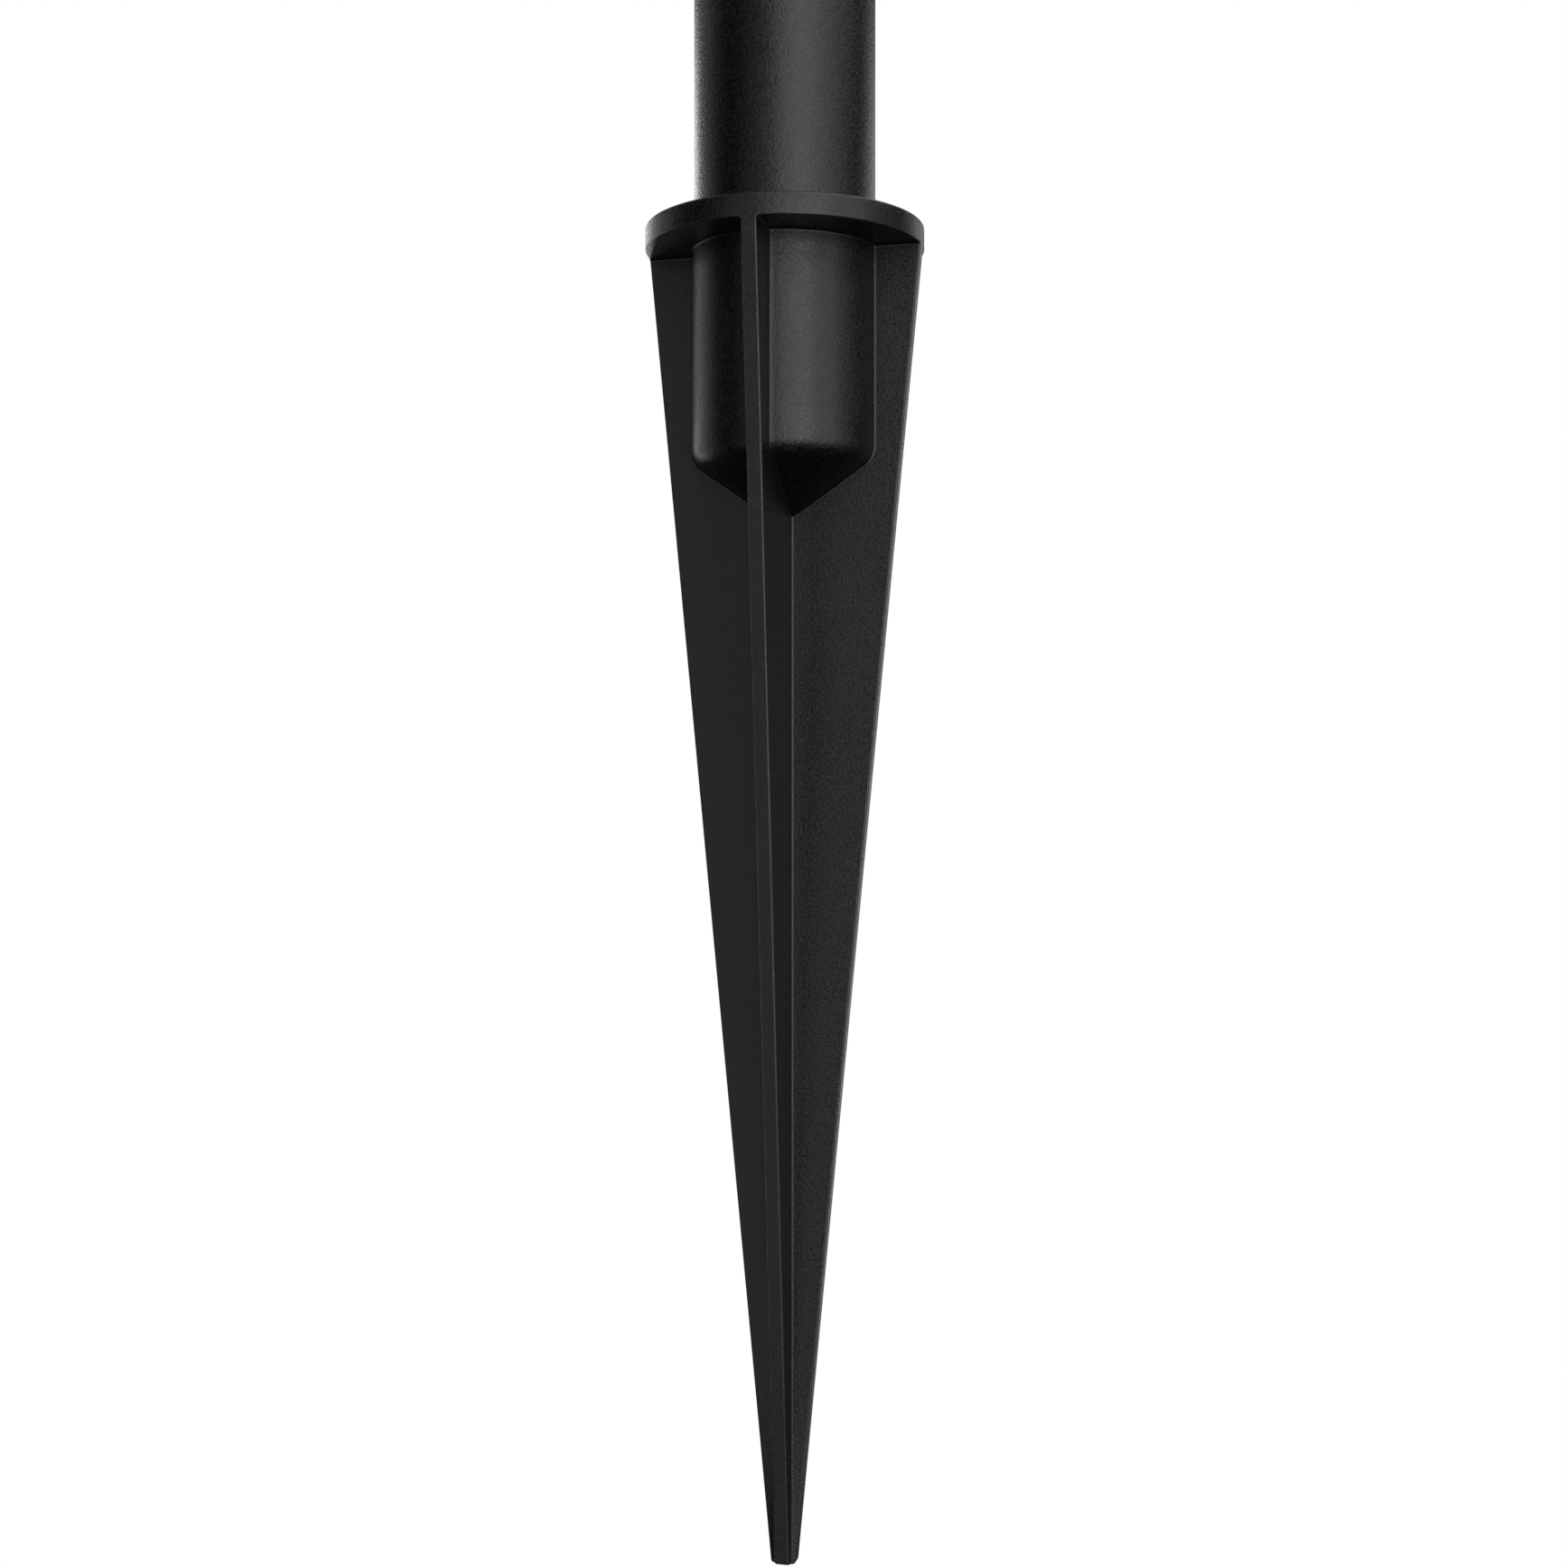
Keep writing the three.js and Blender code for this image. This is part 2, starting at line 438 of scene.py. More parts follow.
def rounded(stops: Sequence[Stop], closed: bool, count: int = 4, guard: float = 0.08 * MM) -> list[Point]:
    """An outline with its corners rounded, and a guard point beside each rounding to keep the flats flat.

    Args:
        stops: the sharp outline's corners, each with its rounding's radius, 0 to keep it sharp.
        closed: whether the last corner joins the first.
        count: steps in each rounding.
        guard: distance of a guard point from its rounding.

    Returns:
        The outline's points, in the corners' order.
    """
    outline: list[Point] = []
    corners = [Vector(stop[:2]) for stop in stops]
    total = len(stops)
    for i, (here, stop) in enumerate(zip(corners, stops)):
        radius = stop[2]
        if radius == 0 or (not closed and i in (0, total - 1)):
            outline.append(stop[:2])
            continue
        back = (corners[i - 1] - here).normalized()
        ahead = (corners[(i + 1) % total] - here).normalized()
        half = back.angle(ahead) / 2
        reach = radius / math.tan(half)
        centre = here + (back + ahead).normalized() * (radius / math.sin(half))
        first, last = here + back * reach - centre, here + ahead * reach - centre
        turn = math.atan2(first.x * last.y - first.y * last.x, first.dot(last))
        start = math.atan2(first.y, first.x)
        outline.append(tuple(here + back * (reach + guard)))
        outline += arc_points(tuple(centre), radius, start, start + turn, count)
        outline.append(tuple(here + ahead * (reach + guard)))
    return outline


def add_object(name: str, data: bpy.types.ID) -> Object:
    """Adds an object to the scene.

    Args:
        name: its name.
        data: its mesh, light or camera.

    Returns:
        The new object.
    """
    made = bpy.data.objects.new(name, data)
    bpy.context.scene.collection.objects.link(made)
    return made


def mesh_from(name: str, points: Sequence[Sequence[float]], faces: Sequence[Sequence[int]]) -> Object:
    """A smooth-shaded mesh object in the scene.

    Args:
        name: the object's name.
        points: its vertices.
        faces: its faces, as vertex numbers.

    Returns:
        The new object.
    """
    mesh = bpy.data.meshes.new(name)
    mesh.from_pydata([tuple(p) for p in points], [], [tuple(f) for f in faces])
    mesh.update()
    mesh.shade_smooth()
    return add_object(name, mesh)


def turned(name: str, profile: Sequence[Point], segments: int, closed: bool,
           relief: Relief | None = None) -> Object:
    """A profile of (radius, height) points turned about Z, faces outwards if it runs up on its outer side.

    Args:
        name: the object's name.
        profile: the points; an open one starts and ends on the axis.
        segments: number of steps round.
        closed: whether the profile is a loop clear of the axis.
        relief: extra radius at an angle, a radius and a height, if the surface isn't plainly round.

    Returns:
        The new object.
    """
    points: list[tuple[float, float, float]] = []
    rows: list[list[int]] = []
    for radius, height in profile:
        if radius < WELD:
            points.append((0.0, 0.0, height))
            rows.append([len(points) - 1] * segments)
            continue
        row = []
        for i in range(segments):
            angle = 2 * math.pi * i / segments
            reach = radius + (relief(angle, radius, height) if relief else 0.0)
            points.append((*polar(reach, angle), height))
            row.append(len(points) - 1)
        rows.append(row)
    pairs = list(zip(rows, rows[1:])) + ([(rows[-1], rows[0])] if closed else [])
    faces = []
    for low, high in pairs:
        for i in range(segments):
            j = (i + 1) % segments
            faces.append(list(dict.fromkeys((low[i], low[j], high[j], high[i]))))
    return mesh_from(name, points, faces)


def mark_edge_wear_and_highlight(piece: Object, gentle_radius: float = 3.0 * MM, sharp_radius: float = 0.4 * MM) -> None:
    """Notes how far each vertex stands out, for the finishes that lighten outward edges, partly as wear and
    partly as a painted edge highlight.

    Args:
        piece: the piece; its mesh gets a value per vertex, 0 on flats and hollows and 1 on sharp edges.
        gentle_radius: the edge radius that isn't lightened at all.
        sharp_radius: the edge radius that is lightened fully.
    """
    shape = bmesh.new()
    shape.from_mesh(piece.data)
    values = []
    for vertex in shape.verts:
        bend = 0.0
        for edge in vertex.link_edges:
            near, far = (face.calc_center_median() for face in edge.link_faces)
            bend = max(bend, edge.calc_face_angle_signed() / max((near - far).length, WELD))
        values.append(min(max((bend - 1 / gentle_radius) / (1 / sharp_radius - 1 / gentle_radius), 0.0), 1.0))
    shape.free()
    piece.data.attributes.new(EDGE_WEAR_AND_HIGHLIGHT, "FLOAT", "POINT").data.foreach_set("value", values)


def settle(piece: Object, modifier: bpy.types.Modifier) -> None:
    """Leaves a modifier's result as the piece's plain mesh, and removes the modifier.

    Args:
        piece: the piece.
        modifier: its modifier.
    """
    graph = bpy.context.evaluated_depsgraph_get()
    plain = bpy.data.meshes.new_from_object(piece.evaluated_get(graph), depsgraph=graph)
    piece.modifiers.remove(modifier)
    piece.data = plain


# --- geometry nodes


class RadialCopies:
    """A Geometry Nodes tree that repeats a mesh about Z, welds the copies and gives them a material."""

    INPUTS: ClassVar[dict[str, str]] = {
        "Geometry": "NodeSocketGeometry",
        "Copies": "NodeSocketInt",
        "First Angle": "NodeSocketFloat",
        "Step": "NodeSocketFloat",
        "Weld Distance": "NodeSocketFloat",
        "Finish": "NodeSocketMaterial",
    }

    def __init__(self) -> None:
        """Builds the tree with its named inputs."""
        self.tree = bpy.data.node_groups.new("radial_copies", "GeometryNodeTree")
        face = self.tree.interface
        self.identifiers = {
            name: face.new_socket(name, in_out="INPUT", socket_type=kind).identifier
            for name, kind in self.INPUTS.items()
        }
        face.new_socket("Geometry", in_out="OUTPUT", socket_type="NodeSocketGeometry")
        self._wire(NodeCanvas(self.tree))

    @staticmethod
    def _wire(canvas: NodeCanvas) -> None:
        """Places one instance per copy, turned by its number times the step, and realizes them.

        Args:
            canvas: the tree to fill.
        """
        given = canvas.add("NodeGroupInput").outputs
        places = canvas.add("GeometryNodeMeshLine", mode="OFFSET", Offset=(0.0, 0.0, 0.0),
                            Count=given["Copies"])
        number = canvas.add("GeometryNodeInputIndex").outputs["Index"]
        turn = canvas.compute("MULTIPLY_ADD", number, given["Step"], given["First Angle"])
        about_z = canvas.add("ShaderNodeCombineXYZ", Z=turn)
        spread = canvas.add("GeometryNodeInstanceOnPoints", Points=places.outputs["Mesh"],
                            Instance=given["Geometry"], Rotation=about_z.outputs["Vector"])
        real = canvas.add("GeometryNodeRealizeInstances", Geometry=spread.outputs["Instances"])
        welded = canvas.add("GeometryNodeMergeByDistance", Geometry=real.outputs["Geometry"],
                            Distance=given["Weld Distance"])
        smooth = canvas.add("GeometryNodeSetShadeSmooth", Geometry=welded.outputs["Geometry"])
        coated = canvas.add("GeometryNodeSetMaterial", Geometry=smooth.outputs["Geometry"],
                            Material=given["Finish"])
        canvas.add("NodeGroupOutput", Geometry=coated.outputs["Geometry"])

    def apply(self, piece: Object, copies: int, first: float, step: float, finish: Material) -> Object:
        """Repeats a piece's mesh and leaves the result as its plain mesh.

        Args:
            piece: the object that holds one copy.
            copies: number of copies.
            first: the first copy's angle.
            step: the angle from one copy to the next.
            finish: the copies' material.

        Returns:
            The same object, with the finished mesh and no modifier.
        """
        piece.data.materials.append(finish)
        modifier = piece.modifiers.new("radial_copies", "NODES")
        modifier.node_group = self.tree
        given = {
            "Copies": copies,
            "First Angle": first,
            "Step": step,
            "Weld Distance": WELD,
            "Finish": finish,
        }
        for name, value in given.items():
            modifier[self.identifiers[name]] = value
        settle(piece, modifier)
        return piece


# --- the spike


@dataclass
class GroundSpike:
    """The one-piece moulding: four blades in a cross, the cup with its socket, and the stop flange.

    Its mesh is a stack of level rings. A ring's quarter runs from the middle of one blade's outer edge, along
    that blade's side, round the cup where there is one, and out to the next blade's outer edge. The half
    thickness of a blade's outer edge is given at the tip and at the flange.
    """

    rim_radius: float
    top: float
    flange_thickness: float = 4.8 * MM
    tip_reach: float = 2.65 * MM
    tip_round: float = 0.6 * MM
    tip_thinning: float = 0.35 * MM
    edge_half: Span = (1.5 * MM, 1.64 * MM)
    root_half: float = 1.9 * MM
    edge_round: float = 0.36 * MM
    root_fillet: float = 0.6 * MM
    cup_radius: float = 20.0 * MM
    cup_depth: float = 45.0 * MM
    cup_corner: float = 5.0 * MM
    cone_angle: float = math.radians(35.3)
    under_fillet: float = 0.5 * MM
    rim_low_round: float = 0.3 * MM
    rim_top_round: float = 0.5 * MM
    socket_radius: float = 17.0 * MM
    socket_floor: float = 3.0 * MM
    socket_round: float = 1.5 * MM
    mouth_round: float = 0.8 * MM
    guard: float = 0.1 * MM

    EDGE_STEPS: ClassVar[int] = 2
    CORNER_STEPS: ClassVar[int] = 5
    SIDE_STEPS: ClassVar[int] = 6
    ROOT_STEPS: ClassVar[int] = 16
    ROOT_WEIGHT: ClassVar[float] = 8.0
    ROOT_LIMIT: ClassVar[float] = 0.35
    FILLET_LIMIT: ClassVar[float] = 0.4
    LEAST_FILLET: ClassVar[float] = 0.05 * MM
    GUARD_LIMITS: ClassVar[Span] = (0.25, 0.2)
    TIP_RINGS: ClassVar[int] = 6
    BLADE_RINGS: ClassVar[int] = 20
    CONE_RINGS: ClassVar[int] = 40
    CUP_CORNER_RINGS: ClassVar[int] = 10
    CUP_RINGS: ClassVar[int] = 6
    UNDER_FILLET_RINGS: ClassVar[int] = 4
    RIM_ROUND_RINGS: ClassVar[int] = 3
    TOP_ROUND_RINGS: ClassVar[int] = 5

    @property
    def underside(self) -> float:
        """Height of the flange's underside."""
        return self.top - self.flange_thickness

    @property
    def slope(self) -> float:
        """Rise of the cup's cone per unit of radius."""
        return math.tan(self.cone_angle)

    @property
    def apex(self) -> float:
        """Height of the cone's apex."""
        return self.underside - self.cup_depth - self.cup_radius * self.slope

    @property
    def corner_height(self) -> float:
        """Height where the cup's rounded corner meets its straight wall."""
        turn = RIGHT_ANGLE - self.cone_angle
        return self.underside - self.cup_depth + self.cup_corner * math.tan(turn / 2)

    @property
    def cone_top(self) -> float:
        """Height where the cone meets the cup's rounded corner."""
        return self.corner_height - self.cup_corner * math.cos(self.cone_angle)

    def cup_at(self, height: float) -> float:
        """Measures the cup at one level.

        Args:
            height: the level.

        Returns:
            The cup's radius there, 0 below its cone.
        """
        if height <= self.apex:
            return 0.0
        if height <= self.cone_top:
            return (height - self.apex) / self.slope
        if height >= self.corner_height:
            return self.cup_radius
        drop = self.corner_height - height
        return self.cup_radius - self.cup_corner + math.sqrt(self.cup_corner**2 - drop**2)

    def half_ring(self, height: float, swell: float = 0.0, tip: float = 1.0) -> list[Point]:
        """Half a quarter ring, from the middle of a blade's edge to the diagonal between two blades.

        Args:
            height: the ring's height.
            swell: how far the sides and the cup stand out, in the fillet under the flange.
            tip: 1 above the rounded tip, falling to 0 at its bottom.

        Returns:
            The points, the same number for every ring.
        """
        share = height / self.underside
        reach = mix(self.tip_reach, self.rim_radius, share) - self.tip_round * (1 - tip)
        thinning = self.tip_thinning * (1 - tip)
        edge = mix(*self.edge_half, share) - thinning + swell
        root = min(self.root_half - thinning + swell, mix(edge, reach, self.ROOT_LIMIT))
        lean = (root - edge) / (reach - root)
        norm = math.hypot(1.0, lean)
        normal = Vector((lean, 1.0)) / norm
        round_off = self.edge_round
        corner = (reach - round_off, root * (1 + lean) - lean * (reach - round_off) - round_off * norm)
        edge_limit, side_limit = self.GUARD_LIMITS
        points = [(reach, corner[1] * s) for s in steps(self.EDGE_STEPS)]
        points.insert(-1, (reach, corner[1] - min(self.guard, corner[1] * edge_limit)))
        points += arc_points(corner, round_off, 0.0, math.atan2(1.0, lean), self.CORNER_STEPS)[1:]
        fillet = min(self.root_fillet, self.FILLET_LIMIT * (reach - root))
        fillet = max(fillet - swell, self.LEAST_FILLET)
        centre, sweep, cup = self._root_centre(root, lean, fillet, self.cup_at(height) + swell)
        foot = Vector(centre) - normal * fillet
        last = Vector(points[-1])
        margin = min(self.guard / max((foot - last).length, WELD), side_limit)
        shares = [mix(margin, 1 - margin, s) for s in steps(self.SIDE_STEPS)] + [1.0]
        points += [tuple(last.lerp(foot, s)) for s in shares]
        return points + self._root_path(centre, fillet, sweep, cup, math.atan2(normal.y, normal.x))

    @staticmethod
    def _root_centre(root: float, lean: float, fillet: float, cup: float) -> tuple[Point, float, float]:
        """Where the fillet at a blade's root is centred.

        Args:
            root: the blade's half thickness where it would meet its neighbour.
            lean: how much thinner the blade gets per unit outwards.
            fillet: the fillet's radius.
            cup: the cup's radius at this height.

        Returns:
            The centre, the angle that the fillet turns through, and the radius of the cup's wall beyond it,
            0 if the fillet runs straight into the next blade's.
        """
        norm = math.hypot(1.0, lean)
        lift = root * (1 + lean) + fillet * norm
        diagonal = lift / (1 + lean)
        reach = cup + fillet
        inside = (lift * lean) ** 2 - norm**2 * (lift**2 - reach**2)
        if inside > 0:
            across = (lift * lean + math.sqrt(inside)) / norm**2
            if across > diagonal:
                centre = (across, lift - lean * across)
                turn = RIGHT_ANGLE - math.atan2(centre[1], centre[0]) - math.atan(lean)
                return centre, turn, cup
        return (diagonal, diagonal), DIAGONAL - math.atan(lean), 0.0

    def _root_path(self, centre: Point, fillet: float, sweep: float, cup: float, start: float) -> list[Point]:
        """Points from the fillet's foot to the diagonal, along the fillet and then the cup's wall.

        Args:
            centre: the fillet's centre.
            fillet: its radius.
            sweep: the angle it turns through.
            cup: the radius of the cup's wall, or 0 if there is none.
            start: the angle of the blade side's outward normal.

        Returns:
            The points after the foot, more closely spaced on the fillet.
        """
        from_angle = math.atan2(centre[1], centre[0])
        wall = cup * (DIAGONAL - from_angle)
        bend = fillet * sweep * self.ROOT_WEIGHT
        points = []
        for share in steps(self.ROOT_STEPS)[1:]:
            way = share * (bend + wall)
            if way <= bend or wall == 0:
                angle = start + math.pi - sweep * min(way / bend, 1.0)
                points.append(polar(fillet, angle, centre))
            else:
                points.append(polar(cup, mix(from_angle, DIAGONAL, (way - bend) / wall)))
        return points

    @staticmethod
    def quarter(half: Sequence[Point]) -> list[Point]:
        """A whole quarter ring from its first half, which mirrors in the diagonal."""
        return list(half) + [(y, x) for x, y in reversed(half[:-1])]

    def blade_rings(self) -> list[list[Vector]]:
        """Rings from the tip's bottom up to the start of the fillet under the flange.

        Returns:
            A quarter of each ring, from the lowest up.
        """
        rings = []
        for share in steps(self.TIP_RINGS):
            angle = share * RIGHT_ANGLE
            height = self.tip_round * (1 - math.cos(angle))
            rings.append(self._raise(self.half_ring(height, tip=math.sin(angle)), height))
        plain = [self.tip_round + self.guard]
        plain += [mix(self.tip_round, self.apex, s) for s in steps(self.BLADE_RINGS)[1:]]
        plain += [mix(self.apex, self.cone_top, s) for s in steps(self.CONE_RINGS)[1:]]
        for share in steps(self.CUP_CORNER_RINGS)[1:]:
            angle = mix(self.cone_angle - RIGHT_ANGLE, 0.0, share)
            plain.append(self.corner_height + self.cup_corner * math.sin(angle))
        start = self.underside - self.under_fillet
        plain += [mix(self.corner_height, start - self.guard, s) for s in steps(self.CUP_RINGS)[1:]]
        plain.append(start)
        return rings + [self._raise(self.half_ring(height), height) for height in plain]

    def _raise(self, half: Sequence[Point], height: float) -> list[Vector]:
        """A quarter ring at a height."""
        return [Vector((x, y, height)) for x, y in self.quarter(half)]

    def flange_rings(self) -> list[list[Vector]]:
        """Rings through the fillet under the flange, out along its underside, up its rim and down the socket.

        Returns:
            A quarter of each ring, in the order that the surface runs.
        """
        rings = []
        for share in steps(self.UNDER_FILLET_RINGS)[1:]:
            angle = share * RIGHT_ANGLE
            height = self.underside - self.under_fillet * (1 - math.sin(angle))
            half = self.half_ring(height, swell=self.under_fillet * (1 - math.cos(angle)))
            rings.append(self._raise(half, height))
        flat = rings[-1]
        bearings = self._bearings()
        held = self._held()
        low = self.rim_low_round
        route = [(self.rim_radius - low - self.guard, 0.0)]
        route += arc_points((self.rim_radius - low, low), low, -RIGHT_ANGLE, 0.0, self.RIM_ROUND_RINGS)
        for number, (radius, rise) in enumerate(route, start=1):
            climb = low * number / len(route)
            ring = []
            for point, bearing, hold in zip(flat, bearings, held):
                free = Vector((*polar(radius, bearing), self.underside + rise))
                edge = Vector((*polar(self.rim_radius, bearing), self.underside + climb))
                ring.append(free.lerp(edge, hold))
            rings.append(ring)
        return rings + [self._circle(radius, height, bearings) for radius, height in self._top_route()]

    def _held(self) -> list[float]:
        """How firmly each point of a quarter stays on the rim.

        Returns:
            1 on a blade's edge, falling to 0 past its corner.
        """
        edge = self.EDGE_STEPS + 2
        half = [1.0] * edge + [1 - (i + 1) / self.CORNER_STEPS for i in range(self.CORNER_STEPS)]
        half += [0.0] * (len(self.half_ring(self.underside)) - len(half))
        return half + half[-2::-1]

    def _bearings(self) -> list[float]:
        """Spreads a quarter's points round the rim, with those on a blade's edge kept where they are.

        Returns:
            Each point's angle about Z.
        """
        half = self.half_ring(self.underside, swell=self.under_fillet)
        kept = self.EDGE_STEPS + 2 + self.CORNER_STEPS
        angles = [math.atan2(y, x) for x, y in half[:kept]]
        rest = len(half) - kept
        angles += [mix(angles[-1], DIAGONAL, (i + 1) / rest) for i in range(rest)]
        return angles + [RIGHT_ANGLE - a for a in reversed(angles[:-1])]

    def _top_route(self) -> list[Point]:
        """The way up the rim, over the top, and down the socket to its floor.

        Returns:
            Radius and height of each point.
        """
        foot = self.apex + self.socket_floor / math.cos(self.cone_angle)
        stops = [
            (self.rim_radius, self.underside + self.rim_low_round, 0.0),
            (self.rim_radius, self.top, self.rim_top_round),
            (self.socket_radius, self.top, self.mouth_round),
            (self.socket_radius, foot + self.socket_radius * self.slope, self.socket_round),
            (0.0, foot, 0.0),
        ]
        return rounded(stops, closed=False, count=self.TOP_ROUND_RINGS, guard=self.guard)[1:]

    @staticmethod
    def _circle(radius: float, height: float, bearings: Sequence[float]) -> list[Vector]:
        """A round quarter ring through the given bearings."""
        return [Vector((*polar(radius, bearing), height)) for bearing in bearings]

    def build(self, copies: RadialCopies, finish: Finish) -> Object:
        """Builds the moulding from four turned quarters.

        Args:
            copies: the tree that repeats the quarter.
            finish: its finish.

        Returns:
            The piece, in place of the frame's own spike.
        """
        rings = self.blade_rings() + self.flange_rings()
        width = len(rings[0])
        centre = Vector((0.0, 0.0, rings[0][0].z))
        points = [centre] + [p for ring in rings for p in ring]
        faces = [(0, i + 2, i + 1) for i in range(width - 1)]
        for level in range(len(rings) - 1):
            low = 1 + level * width
            high = low + width
            faces += [(low + i, low + i + 1, high + i + 1, high + i) for i in range(width - 1)]
        piece = mesh_from("spike_moulding", points, faces)
        return copies.apply(piece, copies=4, first=0.0, step=RIGHT_ANGLE, finish=finish.material())


# --- the post


class RoundPiece:
    """A piece that is turned about the spike's axis."""

    NAME: ClassVar[str]
    CLOSED: ClassVar[bool] = True
    SEGMENTS: ClassVar[int] = 160

    def profile(self) -> list[Point]:
        """The outline to turn, as radius and height."""
        raise NotImplementedError

    def build(self, finish: Finish) -> Object:
        """Builds the piece.

        Args:
            finish: its finish.

        Returns:
            The piece, in place of the frame's own.
        """
        piece = turned(self.NAME, self.profile(), self.SEGMENTS, closed=self.CLOSED)
        piece.data.materials.append(finish.material())
        return piece


@dataclass
class PostTube(RoundPiece):
    """The post's round tube, open at both ends, with a band of its wall ready for the screws' holes."""

    radius: float
    foot: float
    head: float
    hole_band: Span
    wall: float = 2.0 * MM
    end_round: float = 0.25 * MM

    NAME = "tube_wall"
    SEGMENTS = 192

    def profile(self) -> list[Point]:
        """The wall's section.

        Returns:
            Radius and height of each point, round from the foot of the bore.
        """
        bore = self.radius - self.wall
        low, high = self.hole_band
        stops = [
            (bore, self.foot, self.end_round), (self.radius, self.foot, self.end_round),
            (self.radius, low, 0.0), (self.radius, high, 0.0),
            (self.radius, self.head, self.end_round), (bore, self.head, self.end_round),
            (bore, high, 0.0), (bore, low, 0.0),
        ]
        return rounded(stops, closed=True)


@dataclass
class Spigot(RoundPiece):
    """The plug between post and spike: a sleeve in the tube, and a grooved plug in the socket.

    A groove is given as its middle's drop below the shoulder, its width and its depth.
    """

    foot: float
    head: float
    shoulder: float
    sleeve_radius: float
    hole_band: Span
    plug_radius: float = 16.7 * MM
    hollow_radius: float = 12.5 * MM
    floor: float = 3.0 * MM
    lead_in: float = 1.5 * MM
    lead_round: float = 0.5 * MM
    groove_round: float = 0.25 * MM
    shoulder_round: float = 0.2 * MM
    mouth_round: float = 0.6 * MM
    hollow_round: float = 1.0 * MM

    NAME = "spigot_plug"
    CLOSED = False
    GROOVES: ClassVar[tuple[tuple[float, float, float], ...]] = (
        (33.0 * MM, 6.0 * MM, 1.6 * MM),
        (22.0 * MM, 6.0 * MM, 1.6 * MM),
        (12.0 * MM, 2.6 * MM, 1.8 * MM),
    )

    def profile(self) -> list[Point]:
        """The plug's outline.

        Returns:
            Radius and height of each point, from the middle of the foot, up the outside and down the hollow.
        """
        plug, sleeve, hollow = self.plug_radius, self.sleeve_radius, self.hollow_radius
        stops = [
            (0.0, self.foot, 0.0),
            (plug - self.lead_in, self.foot, self.lead_round),
            (plug, self.foot + self.lead_in, self.lead_round),
        ]
        for drop, width, depth in self.GROOVES:
            start, end = self.shoulder - drop - width / 2, self.shoulder - drop + width / 2
            floor = plug - depth
            around = ((plug, start), (floor, start), (floor, end), (plug, end))
            stops += [(*corner, self.groove_round) for corner in around]
        low, high = self.hole_band
        stops += [
            (plug, self.shoulder, self.shoulder_round), (sleeve, self.shoulder, self.shoulder_round),
            (sleeve, low, 0.0), (sleeve, high, 0.0),
            (sleeve, self.head, self.mouth_round), (hollow, self.head, self.mouth_round),
            (hollow, high, 0.0), (hollow, low, 0.0),
            (hollow, self.foot + self.floor, self.hollow_round), (0.0, self.foot + self.floor, 0.0),
        ]
        return rounded(stops, closed=False)


@dataclass
class SeatWasher(RoundPiece):
    """The flat rubber ring under the tube's end."""

    outer_radius: float
    foot: float
    head: float
    inner_radius: float = 17.2 * MM
    edge_round: float = 0.2 * MM
    guard: float = 0.05 * MM

    NAME = "seat_ring"

    def profile(self) -> list[Point]:
        """The ring's section.

        Returns:
            Radius and height of each point.
        """
        inner, outer = self.inner_radius, self.outer_radius
        corners = ((inner, self.foot), (outer, self.foot), (outer, self.head), (inner, self.head))
        stops = [(*corner, self.edge_round) for corner in corners]
        return rounded(stops, closed=True, guard=self.guard)


@dataclass
class SocketRing(RoundPiece):
    """The rubber ring in the spigot's upper groove."""

    middle_radius: float
    section: float
    height: float

    NAME = "socket_seal"
    SECTION_STEPS: ClassVar[int] = 24

    def profile(self) -> list[Point]:
        """The ring's round section."""
        centre = (self.middle_radius, self.height)
        return arc_points(centre, self.section, -math.pi, math.pi, self.SECTION_STEPS)[:-1]


